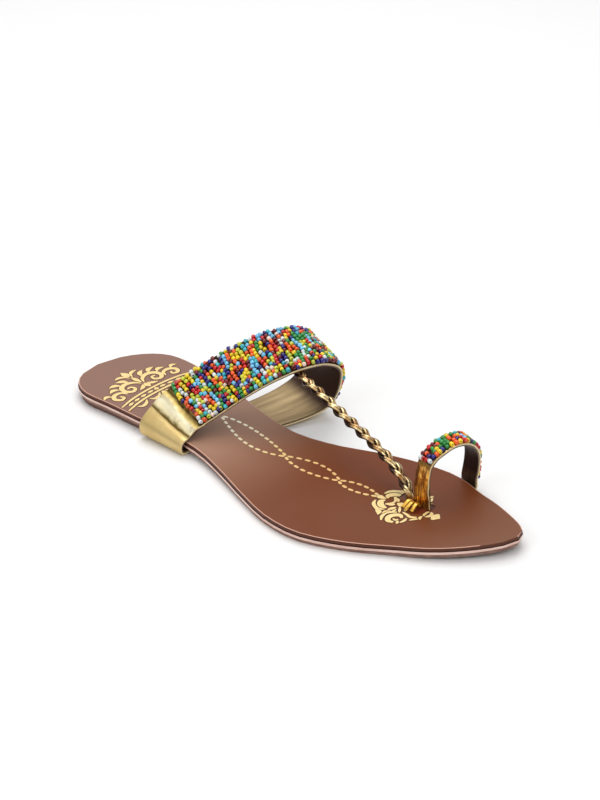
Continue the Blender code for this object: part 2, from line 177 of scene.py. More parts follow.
# The columns are those of the sandal's construction: across from the outer sole edge to the
# inner one, then shares of bulge, lean and rise, and the front edge's swing and drop.
strap = {
    "fromHeel": 0.076,
    "lean": 0.032,
    "rise": 0.0378,
    "bulge": 0.0305,
    "width": 0.0278,
    "wall": 0.0016,
    "outerEdge": (-0.03055, 0.00287),     # x and height where the outer end turns in
    "innerEdge": (0.01486, 0.00243),
    "beadsFrom": 0.20,
    "beadsTo": 0.80,
    "beadMargin": 0.0004,
    "rearMargin": 0.0003,
    "beadLift": -0.00012,                 # below 0 the beads sink into the leather
    "edgeRowFrom": 0.5,                   # a single row lies along the front edge from here on
    "firstString": 0.012,                 # how much further down the first string starts in front
    "rows": (
        (0.190, 0.00, 0.000, 0.000, -0.04, 0.025),
        (0.060, 0.00, 0.000, -0.002, -0.04, 0.025),
        (-0.020, 0.00, 0.000, -0.030, -0.04, 0.03),
        (-0.068, 0.00, 0.000, -0.016, -0.04, 0.04),
        (-0.085, 0.00, 0.000, 0.040, -0.04, 0.06),
        (-0.075, 0.00, 0.005, 0.120, -0.03, 0.10),
        (0.030, 0.00, 0.025, 0.225, -0.01, 0.19),
        (0.180, 0.00, 0.070, 0.345, 0.04, 0.28),
        (0.360, 0.00, 0.160, 0.460, 0.10, 0.36),
        (0.550, 0.00, 0.310, 0.610, 0.17, 0.40),
        (0.730, 0.00, 0.520, 0.785, 0.23, 0.41),
        (0.920, 0.00, 0.740, 0.930, 0.27, 0.38),
        (1.000, 0.24, 0.910, 1.000, 0.27, 0.33),
        (1.000, 0.63, 1.000, 0.955, 0.22, 0.28),
        (1.000, 0.92, 1.000, 0.790, 0.18, 0.26),
        (1.000, 1.00, 0.920, 0.545, 0.16, 0.26),
        (1.000, 0.985, 0.810, 0.300, 0.15, 0.25),
        (1.000, 0.88, 0.740, 0.155, 0.15, 0.19),
        (1.000, 0.64, 0.655, 0.070, 0.17, 0.13),
        (1.000, 0.377, 0.570, 0.024, 0.20, 0.07),
        (1.000, 0.105, 0.490, 0.000, 0.24, 0.03),
        (0.840, 0.00, 0.430, 0.000, 0.24, 0.03),
    ),
}

ring = {
    "fromHeel": 0.2055,
    "width": 0.009,
    "wall": 0.0016,
    "postX": 0.0037,
    "edgeX": 0.03482,
    "top": 0.00506,
    "rise": 0.0268,
    "beadsFrom": 0.265,
    "beadsTo": 0.86,
    "beadMargin": 0.0006,
    "rearMargin": 0.0008,
    "beadLift": -0.0006,
    "edgeRowFrom": 2.0,                   # past 1, so the ring has no such row
    "firstString": 0.0,
    "rows": (
        (0.000, 0.0, 0.000, -0.055, -0.08, 0.00),
        (0.000, 0.0, 0.000, 0.02, -0.06, -0.04),
        (0.010, 0.0, -0.040, 0.29, 0.10, -0.04),
        (0.030, 0.0, -0.070, 0.55, 0.20, 0.00),
        (0.080, 0.0, -0.060, 0.75, 0.22, 0.02),
        (0.165, 0.0, 0.000, 0.87, 0.18, 0.06),
        (0.300, 0.0, 0.110, 0.95, 0.16, 0.10),
        (0.480, 0.0, 0.200, 1.00, 0.16, 0.14),
        (0.690, 0.0, 0.280, 0.965, 0.14, 0.18),
        (0.880, 0.0, 0.270, 0.82, 0.12, 0.17),
        (1.000, 0.1, 0.190, 0.61, 0.08, 0.14),
        (1.000, 1.1, 0.080, 0.40, 0.06, 0.10),
        (1.000, 1.3, -0.010, 0.20, 0.04, 0.05),
        (1.000, 0.95, -0.050, 0.03, 0.05, 0.00),
        (1.000, 1.00, -0.050, -0.085, 0.06, 0.00),
        (1.000, 0.78, -0.050, -0.134, 0.06, 0.00),
        (1.000, -0.50, -0.050, -0.152, 0.06, 0.00),
        (0.800, 0.0, -0.050, -0.152, 0.06, 0.00),
    ),
}


def yAt(fromHeel):
    return sole["length"] / 2 - fromHeel


def strapBand():
    (outerX, outerZ), (innerX, innerZ) = strap["outerEdge"], strap["innerEdge"]
    stations = []
    for across, bulge, ahead, rise, swing, drop in strap["rows"]:
        share = max(0.0, min(1.0, across))
        x = outerX + across * (innerX - outerX) + bulge * strap["bulge"]
        y = yAt(strap["fromHeel"] + ahead * strap["lean"])
        z = outerZ * (1 - share) + innerZ * share + rise * strap["rise"]
        stations.append((Vector((x, y, z)), ruling(swing, drop)))
    return Band(stations)


def ringBand():
    stations = []
    for across, bulge, ahead, rise, swing, drop in ring["rows"]:
        x = ring["postX"] + across * (ring["edgeX"] - ring["postX"]) + bulge * ring["wall"]
        y = yAt(ring["fromHeel"] + ahead * ring["width"])
        stations.append((Vector((x, y, ring["top"] + rise * ring["rise"])), ruling(swing, drop)))
    return Band(stations)


strapLine = strapBand()
ringLine = ringBand()


# Shader sums written as sums
class Value:
    def __init__(self, finish, socket):
        self.finish, self.socket = finish, socket

    def combine(self, operation, first, second):
        return self.finish.node("ShaderNodeMath", {"operation": operation}, {0: first, 1: second})

    def __add__(self, other):
        return self.combine("ADD", self, other)

    def __radd__(self, other):
        return self.combine("ADD", other, self)

    def __sub__(self, other):
        return self.combine("SUBTRACT", self, other)

    def __rsub__(self, other):
        return self.combine("SUBTRACT", other, self)

    def __mul__(self, other):
        return self.combine("MULTIPLY", self, other)

    def __rmul__(self, other):
        return self.combine("MULTIPLY", other, self)

    def __gt__(self, other):
        return self.combine("GREATER_THAN", self, other)

    def __lt__(self, other):
        return self.combine("LESS_THAN", self, other)


class Finish:
    def __init__(self, name, **values):
        self.material = bpy.data.materials.new(name)
        self.material.use_nodes = True
        self.tree = self.material.node_tree
        self.shader = self.tree.nodes["Principled BSDF"]
        self.set(**values)

    def put(self, socket, value):
        if isinstance(value, Value):
            self.tree.links.new(value.socket, socket)
        else:
            socket.default_value = value

    def set(self, **values):
        names = {"colour": "Base Color", "roughness": "Roughness", "metallic": "Metallic",
                 "coat": "Coat Weight", "coatRoughness": "Coat Roughness", "normal": "Normal",
                 "specular": "Specular IOR Level"}
        for key, value in values.items():
            self.put(self.shader.inputs[names[key]], value)

    def node(self, kind, settings=None, sockets=None, out=0):
        made = self.tree.nodes.new(kind)
        for key, value in (settings or {}).items():
            if key == "stops":
                fillRamp(made.color_ramp, value)
            else:
                setattr(made, key, value)
        for key, value in (sockets or {}).items():
            self.put(made.inputs[key], value)
        return Value(self, made.outputs[out])

    def coords(self, kind="Object"):
        return self.node("ShaderNodeTexCoord", out=kind)

    def noise(self, scale, detail, stretch=(1.0, 1.0, 1.0), kind="Object", offset=0.0):
        place = self.node("ShaderNodeMapping", None, {
            "Vector": self.coords(kind), "Scale": stretch, "Location": (offset, offset, offset)})
        return self.node("ShaderNodeTexNoise", None,
                         {"Vector": place, "Scale": scale, "Detail": detail, "Roughness": 0.55})

    def spread(self, value, low, high):
        return self.node("ShaderNodeMapRange", {"interpolation_type": "SMOOTHSTEP"},
                         {"Value": value, "From Min": low, "From Max": high})

    # 1 where a value has come in and not yet gone out, with soft ends
    def zone(self, value, comes, goes):
        return self.spread(value, *comes) * self.spread(value, *goes)

    def blend(self, factor, first, second):
        return self.node("ShaderNodeMix", {"data_type": "RGBA"},
                         {0: factor, 6: first, 7: second}, out=2)

    def part(self, vector, axis):
        return self.node("ShaderNodeSeparateXYZ", None, {0: vector}, out=axis)

    # How far a face looks up: 1 for straight up, 0 for a wall, -1 for straight down
    def up(self):
        return self.part(self.node("ShaderNodeNewGeometry", out="True Normal"), "Z")

    def bump(self, height, distance, strength, under=None):
        sockets = {"Height": height, "Distance": distance, "Strength": strength}
        if under is not None:
            sockets["Normal"] = under
        return self.node("ShaderNodeBump", None, sockets)


# Sole leather. Each finish keeps its tones, grain scales (per metre) and depths in its values.
def insoleFinish():
    values = {
        "brown": linear(127, 84, 60), "rich": linear(114, 52, 8), "grey": linear(150, 116, 104),
        "sheenTone": linear(206, 166, 140), "rim": linear(220, 172, 150), "side": linear(92, 50, 34),
        "cloudy": 0.15, "heelSheenAmount": 0.7, "strapSheenAmount": 0.36,
        "ball": ((0.045, 0.0), (-0.13, -0.08)),           # where each zone comes and goes along Y
        "strapSheen": ((-0.03, 0.032), (0.072, 0.05)),
        "heel": (0.0, 0.09),
        "postShade": linear(108, 42, 24), "postShadeAt": (0.0008, -0.0792), "postShadeReach": 5.2 * mm,
        "postShadeDepth": 0.9,
        "clouds": 16, "scuffs": 240, "pores": 1500, "scuffDepth": 0.04 * mm, "poreDepth": 0.05 * mm,
        "topFaces": 0.94, "sideFaces": 0.45,              # how far a face looks up, 1 at most
        "roughness": 0.34, "uneven": 0.16, "unevenScale": 60,
    }
    f = Finish("brownInsoleLeather", coat=0.04, coatRoughness=0.35, specular=0.22)
    y = f.part(f.coords(), "Y")
    cloudy = f.spread(f.noise(values["clouds"], 2), 0.35, 0.7)
    ball = f.zone(y, *values["ball"])
    colour = f.blend(ball * (1 - values["cloudy"]) + cloudy * values["cloudy"],
                     values["brown"], values["rich"])
    # Painted sheen: the heel half is mixed towards a paler grey tone
    colour = f.blend(f.spread(y, *values["heel"]) * values["heelSheenAmount"], colour, values["grey"])
    # Painted sheen: just before the strap the leather is mixed towards a pale tone
    colour = f.blend(f.zone(y, *values["strapSheen"]) * values["strapSheenAmount"], colour, values["sheenTone"])
    # Painted shade: a dark maroon patch round the post's foot
    postShadeX, postShadeY = values["postShadeAt"]
    aside, ahead = f.part(f.coords(), "X") - postShadeX, y - postShadeY
    postShadeDistance = (aside * aside + ahead * ahead) * (1 / values["postShadeReach"] ** 2)
    colour = f.blend(f.spread(postShadeDistance, 1.0, 0.35) * values["postShadeDepth"], colour, values["postShade"])
    up = f.up()
    # Painted highlight: the rounded rim between top and side gets a pale tone
    colour = f.blend(up < values["topFaces"], colour, values["rim"])
    # Painted shade: the insole's side, over the groove above the midsole, gets a dark tone
    colour = f.blend(up < values["sideFaces"], colour, values["side"])
    scuffed = f.bump(f.noise(values["scuffs"], 4, (1, 0.25, 1)), values["scuffDepth"], 0.4)
    f.set(colour=colour,
          roughness=values["roughness"] + values["uneven"] * f.noise(values["unevenScale"], 3),
          normal=f.bump(f.noise(values["pores"], 2), values["poreDepth"], 0.5, scuffed))
    return f.material


def midsoleFinish():
    values = {
        "side": (linear(240, 205, 190), linear(222, 178, 162)), "top": linear(60, 30, 22),
        "topFaces": 0.6, "streaks": 90, "streakShape": (1, 1, 6), "grain": 900,
        "grainDepth": 0.03 * mm, "roughness": 0.4, "uneven": 0.1,
    }
    f = Finish("pinkMidsoleEdge", coat=0.2, coatRoughness=0.3)
    streaks = f.noise(values["streaks"], 3, values["streakShape"])
    colour = f.blend(f.spread(streaks, 0.35, 0.7), *values["side"])
    # Painted shade: the top faces, seen only down the slot, are dark
    f.set(colour=f.blend(f.up() > values["topFaces"], colour, values["top"]),
          roughness=values["roughness"] + values["uneven"] * streaks,
          normal=f.bump(f.noise(values["grain"], 3), values["grainDepth"], 0.6))
    return f.material


def outsoleFinish():
    values = {
        "side": (linear(160, 126, 112), linear(128, 96, 84)),
        "under": (linear(120, 84, 60), linear(98, 66, 46)),
        "underFaces": -0.6, "fibres": 220, "fibreShape": (1, 1, 5), "fibreDepth": 0.08 * mm,
        "wear": 45, "roughness": 0.5, "uneven": 0.2,
    }
    f = Finish("darkOutsoleLeather", specular=0.4)
    fibres = f.noise(values["fibres"], 4, values["fibreShape"])
    side = f.blend(f.spread(fibres, 0.3, 0.7), *values["side"])
    under = f.blend(f.spread(f.noise(values["wear"], 4), 0.35, 0.65), *values["under"])
    f.set(colour=f.blend(f.up() < values["underFaces"], side, under),
          roughness=values["roughness"] + values["uneven"] * fibres,
          normal=f.bump(fibres, values["fibreDepth"], 0.6))
    return f.material


# Plain grained finishes: two tones, mixed by the grain that also roughens them
def grainFinish(name, values):
    f = Finish(name, specular=values["specular"])
    grain = f.noise(values["grain"], 3)
    f.set(colour=f.blend(grain, *values["tones"]),
          roughness=values["roughness"] + values["uneven"] * grain,
          normal=f.bump(grain, values["depth"], values["strength"]))
    return f.material


liftGrain = {
    "tones": (linear(122, 90, 78), linear(92, 66, 56)), "grain": 700, "depth": 0.08 * mm,
    "strength": 0.6, "roughness": 0.62, "uneven": 0.15, "specular": 0.35,
}
edgeGrain = {
    "grain": 600, "depth": 0.04 * mm, "strength": 0.4, "roughness": 0.3, "uneven": 0.15,
    "specular": 0.5,
}
paleEdge = {**edgeGrain, "tones": (linear(252, 232, 186), linear(232, 206, 152))}
bronzeEdge = {**edgeGrain, "tones": (linear(116, 92, 58), linear(86, 64, 42))}


# The strap's outer foot: a slanting crease, then a shiny roll and a hollow beside the beads.
# Places and widths are shares of the band's length, heights are millimetres.
foot = {
    "crease": 0.130, "slant": 0.017, "span": 0.08, "roll": 0.034, "trough": 0.190,
    "creaseDepth": 0.35, "creaseWidth": 0.0035, "rollHeight": 0.55, "rollWidth": 0.017,
    "troughDepth": 0.5, "troughWidth": 0.006, "crumple": 0.2, "crumpleRun": 90,
    "crumpleTurn": 11, "crumpleWidth": 0.02,
}
# Painted shade where the leather shows between the beads
shadeUnderBeads = linear(86, 60, 40)


# Gold foil leathers: the share of a band's length and width come from its own UV map
def bandShares(f):
    return f.part(f.coords("UV"), "X"), f.part(f.coords("UV"), "Y")


def underBeads(f, sizes, along, beside):
    fade = 0.004
    covered = f.zone(along, (sizes["beadsFrom"] - fade, sizes["beadsFrom"]),
                     (sizes["beadsTo"] + fade, sizes["beadsTo"]))
    return covered * (beside < 1 - sizes["beadMargin"] / sizes["width"])


def strapFinish():
    values = {
        "gold": (linear(220, 194, 134), linear(196, 164, 100)), "trim": linear(232, 212, 164),
        "tones": (     # painted highlight and painted dark reflections across the shiny roll, from the crease on
            (0.0, linear(206, 180, 116)), (0.04, linear(104, 84, 36)), (0.1, linear(126, 104, 50)),
            (0.2, linear(250, 234, 186)), (0.38, linear(255, 246, 212)),
            (0.52, linear(178, 156, 94)), (0.64, linear(92, 74, 30)), (0.74, linear(112, 94, 44)),
            (0.84, linear(182, 158, 96)), (1.0, linear(190, 160, 92)),
        ),
        "wander": 75, "wandering": 0.42, "slip": 0.1, "start": 0.04, "shinyTo": (0.23, 0.2),
        "mottle": 130, "mottled": 0.35, "reflectionSpotTone": linear(112, 92, 42), "reflectionSpots": 150,
        "reflectionSpotAmount": 0.55, "trimFrom": 0.05, "crumple": 300, "crumpleDepth": 0.05 * mm,
        "dentDepth": 0.4 * mm, "metallic": 0.85, "trimLess": 0.6,
        "roughness": 0.44, "shinyLess": 0.14, "mottleMore": 0.08, "beadedMore": 0.3,
    }
    f = Finish("goldStrapLeather", specular=0.5)
    along, beside = bandShares(f)
    past = along - (foot["crease"] + foot["slant"] / 2 - foot["slant"] * beside)
    wander = f.noise(values["wander"], 3, offset=1) - 0.5
    across = past * (1 / foot["span"]) + wander * values["wandering"]
    across = across - beside * values["slip"] + values["start"]
    rollHighlights = f.node("ShaderNodeValToRGB", {"stops": values["tones"]}, {0: across})
    shiny = f.spread(past, 0.0, 0.004) * f.spread(along, *values["shinyTo"])
    mottle = f.spread(f.noise(values["mottle"], 4, offset=3), 0.38, 0.66)
    gold = f.blend(mottle * values["mottled"], *values["gold"])
    # Painted reflections: dark olive spots over the shiny roll
    reflectionSpots = f.spread(f.noise(values["reflectionSpots"], 3, offset=5), 0.5, 0.7)
    rollHighlights = f.blend(reflectionSpots * values["reflectionSpotAmount"], rollHighlights, values["reflectionSpotTone"])
    colour = f.blend(shiny, gold, rollHighlights)
    beaded = underBeads(f, strap, along, beside)
    trim = beside > 1 - strap["beadMargin"] / strap["width"]
    trim = trim * (past > values["trimFrom"])
    colour = f.blend(trim, f.blend(beaded, colour, shadeUnderBeads), values["trim"])
    dented = f.bump(wander, values["dentDepth"], 0.7)
    f.set(colour=colour, metallic=values["metallic"] - values["trimLess"] * trim,
          roughness=(values["roughness"] - shiny * values["shinyLess"]
                     + values["mottleMore"] * mottle + beaded * values["beadedMore"]),
          normal=f.bump(f.noise(values["crumple"], 4), values["crumpleDepth"], 0.4, dented))
    return f.material


# Linings: streaked leather, dark on the outer side and brighter towards the inner end; the dark
# part is painted shade on the band's inside
def liningFinish(name, values):
    f = Finish(name, metallic=0.6, specular=0.4)
    along, beside = bandShares(f)
    streaks = f.spread(f.noise(values["streaks"], 3, values["streakShape"], "UV"), 0.28, 0.72)
    bright = f.blend(streaks, *values["tones"])
    f.set(colour=f.blend(f.spread(along, *values["darkEdge"]), bright, values["dark"]),
          roughness=values["roughness"] + values["uneven"] * streaks,
          normal=f.bump(f.noise(values["grain"], 2), values["grainDepth"], 0.5))
    return f.material


liningGrain = {"streaks": 3.2, "streakShape": (1.4, 1.9, 1), "roughness": 0.4, "uneven": 0.12,
               "grain": 900, "grainDepth": 0.015 * mm}
strapInner = {**liningGrain, "tones": (linear(160, 138, 100), linear(132, 110, 76)),
              "dark": linear(76, 54, 44), "darkEdge": (0.84, 0.786)}
ringInner = {**liningGrain, "tones": (linear(96, 72, 52), linear(70, 50, 38)),
             "dark": linear(56, 40, 34), "darkEdge": (0.85, 0.796)}


def ringFinish():
    values = {
        "amber": (linear(244, 178, 72), linear(112, 54, 14)), "dim": linear(84, 40, 14),
        "gold": linear(206, 176, 110), "dimmed": 0.7, "dimEdge": (0.3, 0.1),
        "amberTo": (0.24, 0.3), "wear": 5, "wearShape": (1.6, 3.2, 1), "grain": 900,
        "grainDepth": 0.03 * mm, "roughness": 0.22, "wearMore": 0.12, "beadedMore": 0.4,
    }
    f = Finish("antiqueGoldRingLeather", metallic=0.8, coat=0.3, coatRoughness=0.2)
    along, beside = bandShares(f)
    wear = f.spread(f.noise(values["wear"], 4, values["wearShape"], "UV"), 0.4, 0.6)
    amber = f.blend(wear, *values["amber"])
    amber = f.blend(f.spread(beside, *values["dimEdge"]) * values["dimmed"], amber, values["dim"])
    colour = f.blend(f.spread(along, *values["amberTo"]), amber, values["gold"])
    beaded = underBeads(f, ring, along, beside)
    f.set(colour=f.blend(beaded, colour, shadeUnderBeads),
          roughness=(values["roughness"] + values["wearMore"] * wear
                     + beaded * values["beadedMore"]),
          normal=f.bump(f.noise(values["grain"], 3), values["grainDepth"], 0.4))
    return f.material


def tabFinish():
    values = {"amber": (linear(252, 196, 72), linear(150, 84, 24)), "wear": 240,
              "wearDepth": 0.05 * mm, "roughness": 0.3}
    f = Finish("amberTabLeather", metallic=0.6, coat=0.3, coatRoughness=0.2)
    wear = f.spread(f.noise(values["wear"], 3), 0.45, 0.75)
    f.set(colour=f.blend(wear, *values["amber"]), roughness=values["roughness"],
          normal=f.bump(wear, values["wearDepth"], 0.5))
    return f.material


def fillingFinish():
    values = {"front": (linear(104, 42, 24), linear(84, 30, 18)), "rear": linear(134, 90, 68),
              "rearFrom": (-0.0755, -0.0735), "grain": 500, "grainDepth": 0.04 * mm,
              "roughness": 0.5}
    f = Finish("darkSlotLeather", specular=0.3)
    grain = f.noise(values["grain"], 3)
    rear = f.spread(f.part(f.coords(), "Y"), *values["rearFrom"])
    # Painted shade: the filling's front, round the post's foot, is dark maroon
    f.set(colour=f.blend(rear, f.blend(grain, *values["front"]), values["rear"]),
          roughness=values["roughness"], normal=f.bump(grain, values["grainDepth"], 0.5))
    return f.material


# The plait's own attribute holds painted shade: dark where a strand lies low between the others,
# along each strand's groove and at its edges
def braidFinish():
    values = {"leather": (linear(255, 228, 168), linear(176, 122, 62)), "deep": linear(56, 30, 12),
              "shadeFrom": (0.1, 0.7), "mottle": 260, "grain": 1300, "grainDepth": 0.04 * mm,
              "roughness": 0.2, "mottleMore": 0.16}
    f = Finish("bronzeBraidLeather", metallic=0.8, coat=0.3, coatRoughness=0.12)
    depth = f.node("ShaderNodeAttribute", {"attribute_name": "plaitDepth"}, out="Fac")
    mottle = f.spread(f.noise(values["mottle"], 4), 0.36, 0.66)
    leather = f.blend(mottle, *values["leather"])
    f.set(colour=f.blend(f.spread(depth, *values["shadeFrom"]), leather, values["deep"]),
          roughness=values["roughness"] + values["mottleMore"] * mottle,
          normal=f.bump(f.noise(values["grain"], 3), values["grainDepth"], 0.6))
    return f.material


# Foil is given a painted sheen, palest just before the strap, and is deepest along the middle of
# the stitches
def foilFinish():
    values = {
        "gold": linear(255, 224, 156), "deep": linear(247, 200, 132), "sheenTone": linear(255, 248, 222),
        "worn": linear(222, 170, 84), "deepZone": ((0.02, -0.03), (-0.06, -0.05)),
        "sheenZone": ((0.0, 0.03), (0.065, 0.05)), "wear": 700, "wearing": 0.35,
        "wearDepth": 0.02 * mm, "roughness": 0.3, "wearMore": 0.2,
    }
    f = Finish("goldPrintFoil", metallic=0.15, specular=0.5)
    wear = f.spread(f.noise(values["wear"], 4), 0.42, 0.7)
    y = f.part(f.coords(), "Y")
    foil = f.blend(f.zone(y, *values["deepZone"]), values["gold"], values["deep"])
    # Painted sheen just before the strap
    foil = f.blend(f.zone(y, *values["sheenZone"]), foil, values["sheenTone"])
    f.set(colour=f.blend(wear * values["wearing"], foil, values["worn"]),
          roughness=values["roughness"] + values["wearMore"] * wear,
          normal=f.bump(wear, values["wearDepth"], 0.5))
    return f.material


def shadeFinish():
    values = {"tones": (linear(78, 40, 18), linear(60, 30, 14)), "grain": 700}
    f = Finish("brownPrintShade", specular=0.3, roughness=0.5)
    f.set(colour=f.blend(f.noise(values["grain"], 3), *values["tones"]))
    return f.material


def beadFinish():
    values = {"dark": linear(40, 34, 30), "darkened": 0.1, "swirl": 900, "dimples": 1200,
              "dimpleDepth": 0.02 * mm}
    f = Finish("glassSeedBeads", coat=0.75, coatRoughness=0.05, roughness=0.24, specular=0.35)
    tint = f.node("ShaderNodeAttribute", {"attribute_name": "beadTint"}, out="Color")
    swirl = f.spread(f.noise(values["swirl"], 2), 0.3, 0.7)
    f.set(colour=f.blend(swirl * values["darkened"], tint, values["dark"]),
          normal=f.bump(f.noise(values["dimples"], 2), values["dimpleDepth"], 0.3))
    return f.material


insoleLeather, midsoleEdge = insoleFinish(), midsoleFinish()
outsoleLeather, liftRubber = outsoleFinish(), grainFinish("heelLiftRubber", liftGrain)
goldLeather = strapFinish()
goldEdge = grainFinish("paleGoldEdge", paleEdge)
liningEdge = grainFinish("bronzeLiningEdge", bronzeEdge)
strapLining = liningFinish("bronzeStrapLining", strapInner)
ringLining = liningFinish("brownRingLining", ringInner)
ringLeather, braidLeather, tabLeather = ringFinish(), braidFinish(), tabFinish()
printFoil, printShade = foilFinish(), shadeFinish()
beadGlass, slotLeather = beadFinish(), fillingFinish()

for nodeName, material in (("insole", insoleLeather), ("midsole", midsoleEdge),
                           ("outsole", outsoleLeather), ("heel_lift", liftRubber)):
    for materialSlot in nodes[nodeName].material_slots:
        materialSlot.material = material
say("finishes")


# One layer of a band: a grid laid along it, then its wall and rounded cut edges
layer = {"outer": 0.8 * mm, "lining": 0.8 * mm, "inset": 0.3 * mm, "rounding": 0.16 * mm,
         "roundSteps": 3, "sharpFrom": 60}


def bandSheet(name, band, width, wall, lift, relief, cells, leather, rim):
    deselectAll()
    bpy.ops.mesh.primitive_grid_add(x_subdivisions=cells[0], y_subdivisions=cells[1], size=1.0)
    piece = bpy.context.object
    piece.name = name
    for material in (leather, leather, rim):
        piece.data.materials.append(material)
    frames = {}
    for vertex in piece.data.vertices:
        at, beside = vertex.co.x + 0.5, vertex.co.y * width
        key = round(at, 6)
        if key not in frames:
            frames[key] = band.frameAt(at)
        point, rule, out = frames[key]
        vertex.co = point + rule * beside + out * (lift + relief(at, beside))
    point, rule, out = band.frameAt(0.5)
    middle = min(piece.data.polygons, key=lambda face: (face.center - point).length)
    if middle.normal.dot(out) < 0:
        editWhole(piece, bpy.ops.mesh.flip_normals)
    shell = piece.modifiers.new("wall", "SOLIDIFY")
    shell.thickness, shell.offset, shell.use_even_offset = wall, 0.0, True
    shell.material_offset, shell.material_offset_rim = 1, 2
    edge = piece.modifiers.new("rounding", "BEVEL")
    edge.width, edge.segments = layer["rounding"], layer["roundSteps"]
    edge.limit_method, edge.angle_limit = "ANGLE", math.radians(layer["sharpFrom"])
    applyModifiers(piece)
    smooth(piece, 50)
    return piece


# Instep strap: outer leather and lining
def strapRelief(at, beside):
    side = beside / strap["width"]
    crease = foot["crease"] - foot["slant"] * side
    roll = crease + foot["roll"]
    height = foot["rollHeight"] * hump(at, roll, foot["rollWidth"])
    height -= foot["creaseDepth"] * hump(at, crease, foot["creaseWidth"])
    height -= foot["troughDepth"] * hump(at, foot["trough"], foot["troughWidth"])
    ripple = math.sin(at * foot["crumpleRun"] + foot["crumpleTurn"] * side)
    height += foot["crumple"] * ripple * hump(at, roll, foot["crumpleWidth"])
    return height * mm


# Shallow folds of the lining on the strap's inner side
folds = {"height": 0.04 * mm, "run": 70, "bend": 2.5, "turn": 5, "comes": (0.74, 0.8),
         "goes": (0.93, 0.97)}


def liningRelief(at, beside):
    side = beside / strap["width"]
    inner = ramp(at, *folds["comes"]) * (1 - ramp(at, *folds["goes"]))
    bend = folds["bend"] * math.sin(folds["turn"] * side)
    return folds["height"] * inner * math.sin(at * folds["run"] + bend)


outerLift = (strap["wall"] - layer["outer"]) / 2
liningLift = -(strap["wall"] - layer["lining"]) / 2
strapLeather = bandSheet("strapLeather", strapLine, strap["width"], layer["outer"], outerLift,
                         strapRelief, (220, 18), goldLeather, goldEdge)
finishPiece(strapLeather, "instep_strap")
strapInside = bandSheet("strapLining", strapLine, strap["width"] - layer["inset"],
                        layer["lining"], liningLift, liningRelief, (200, 12), strapLining,
                        liningEdge)
finishPiece(strapInside, "instep_strap")
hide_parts("instep_strap")
say("instep strap")


# Toe ring: wrinkled leather on the post, smooth under the beads
wrinkles = {"smoothFrom": (0.19, 0.27), "height": 0.22 * mm, "apart": 4.2 * mm, "sway": 2.2,
            "swayRun": 22, "fine": 0.1 * mm, "fineRun": 90, "fineAcross": 900}


def ringRelief(at, beside):
    bare = 1 - ramp(at, *wrinkles["smoothFrom"])
    sway = wrinkles["sway"] * math.sin(at * wrinkles["swayRun"])
    fold = math.sin(math.tau * beside / wrinkles["apart"] + sway)
    fine = math.sin(at * wrinkles["fineRun"] + beside * wrinkles["fineAcross"])
    return bare * (wrinkles["height"] * fold + wrinkles["fine"] * fine)


def plain(at, beside):
    return 0.0


ringOutside = bandSheet("ringLeather", ringLine, ring["width"], layer["outer"], outerLift,
                        ringRelief, (120, 14), ringLeather, goldEdge)
finishPiece(ringOutside, "toe_ring")
ringInside = bandSheet("ringLining", ringLine, ring["width"] - layer["inset"], layer["lining"],
                       liningLift, plain, (110, 6), ringLining, liningEdge)
finishPiece(ringInside, "toe_ring")
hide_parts("toe_ring")
say("toe ring")


# Seed beads: one bead, then joined copies threaded across the band and along its front edge
bead = {
    "radius": 1.14 * mm, "hole": 0.3 * mm, "length": 2.12 * mm, "around": 10, "rounding": 6,
    "apart": 0.86, "tilt": 0.26, "stray": 0.27 * mm, "nest": 0.34 * mm,
    "sway": 0.45 * mm, "swayTurn": 0.9, "swayAcross": 330,    # from string to string, and across
    "slackBand": 40 * mm,             # from 20 mm of width on, a string may slip by half a bead
    "girth": (0.88, 1.06), "stretch": (0.8, 1.1), "brightness": (0.8, 1.15),
    "repeat": 0.24,                   # how often a bead has the colour of the one before
}
palette = (
    (linear(214, 22, 20), 13), (linear(118, 10, 18), 11), (linear(255, 98, 28), 14),
    (linear(255, 222, 30), 18), (linear(210, 216, 60), 8), (linear(44, 150, 64), 11),
    (linear(56, 188, 204), 5), (linear(124, 208, 250), 8), (linear(34, 24, 130), 12),
    (linear(232, 240, 240), 7), (linear(250, 220, 204), 3),
)


def makeBead():
    deselectAll()
    tube = (bead["radius"] - bead["hole"]) / 2
    bpy.ops.mesh.primitive_torus_add(
        major_segments=bead["around"], minor_segments=bead["rounding"],
        major_radius=bead["hole"] + tube, minor_radius=tube)
    piece = bpy.context.object
    piece.data.transform(Matrix.Diagonal((1, 1, bead["length"] / 2 / tube, 1)))
    return piece


def threadBeads(name, places, seed):
    chance = random.Random(seed)
    source = makeBead()
    corners = [vertex.co.copy() for vertex in source.data.vertices]
    sides = [tuple(face.vertices) for face in source.data.polygons]
    points, faces, tints = [], [], []
    tones = [tone for tone, _ in palette]
    weights = [weight for _, weight in palette]
    tone = tones[0]
    for point, thread, out in places:
        across = thread.cross(out).normalized()
        turn = Matrix((across, out, thread)).transposed()
        for axis in "XY":
            turn = turn @ Matrix.Rotation(chance.gauss(0.0, bead["tilt"]), 3, axis)
        wide, long = chance.uniform(*bead["girth"]), chance.uniform(*bead["stretch"])
        base = len(points)
        shift = across * chance.gauss(0, 1) * bead["stray"] + out * chance.random() * bead["nest"]
        for corner in corners:
            local = Vector((corner.x * wide, corner.y * wide, corner.z * long))
            points.append(point + shift + turn @ local)
        faces += [tuple(base + index for index in side) for side in sides]
        if chance.random() > bead["repeat"]:
            tone = chance.choices(tones, weights)[0]
        dim = chance.uniform(*bead["brightness"])
        tints += [(tone[0] * dim, tone[1] * dim, tone[2] * dim, 1.0)] * len(corners)
    mesh = bpy.data.meshes.new(name)
    mesh.from_pydata(points, [], faces)
    shade = mesh.color_attributes.new("beadTint", "FLOAT_COLOR", "POINT")
    shade.data.foreach_set("color", [value for tint in tints for value in tint])
    bpy.data.objects.remove(source, do_unlink=True)
    piece = newPiece(name, mesh)
    bpy.ops.object.shade_smooth()
    return piece


